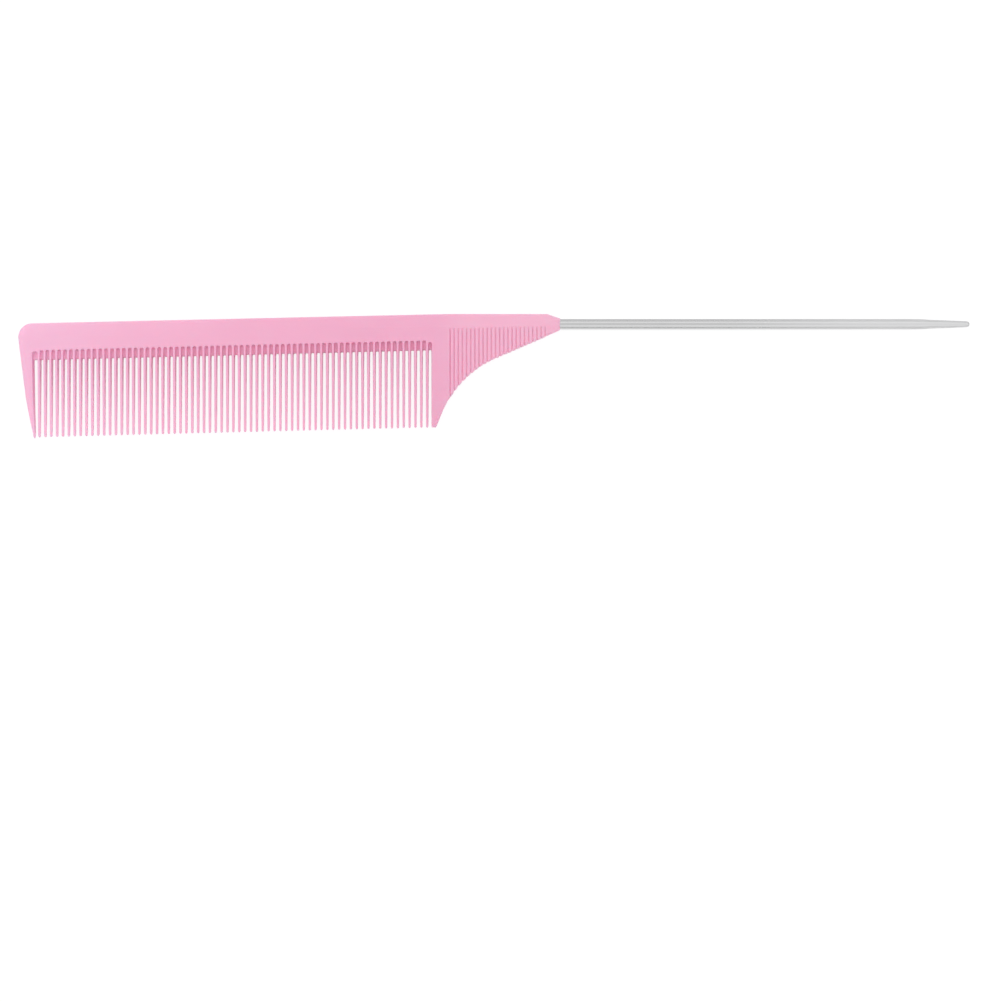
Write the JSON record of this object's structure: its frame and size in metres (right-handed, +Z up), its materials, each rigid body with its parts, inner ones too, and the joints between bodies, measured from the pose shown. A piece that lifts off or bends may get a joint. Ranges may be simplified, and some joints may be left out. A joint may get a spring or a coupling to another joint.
{
  "type": "rat tail comb",
  "caption": "Rat tail comb: thin moulded plastic comb with fine straight teeth, a ribbed grip shank and a long slim steel pin tail.",
  "frame": {"origin": "centre of the footprint of the comb lying flat, on the surface it lies on", "axes": "+X along the comb from the front end to the point of the tail pin, -Y the way the teeth point, +Z up through the thickness"},
  "size_m": [0.235, 0.0308, 0.004],
  "materials": {
    "pink_plastic": "moulded plastic with a soft satin shine",
    "pin_steel": "smooth drawn stainless steel, lightly polished"
  },
  "bodies": {
    "root": {"comb_spine": "pink_plastic", "fine_teeth": "pink_plastic", "front_guard_tooth": "pink_plastic", "rear_guard_tooth": "pink_plastic", "ribbed_shank": "pink_plastic", "tail_pin": "pin_steel"}
  },
  "joints": []
}
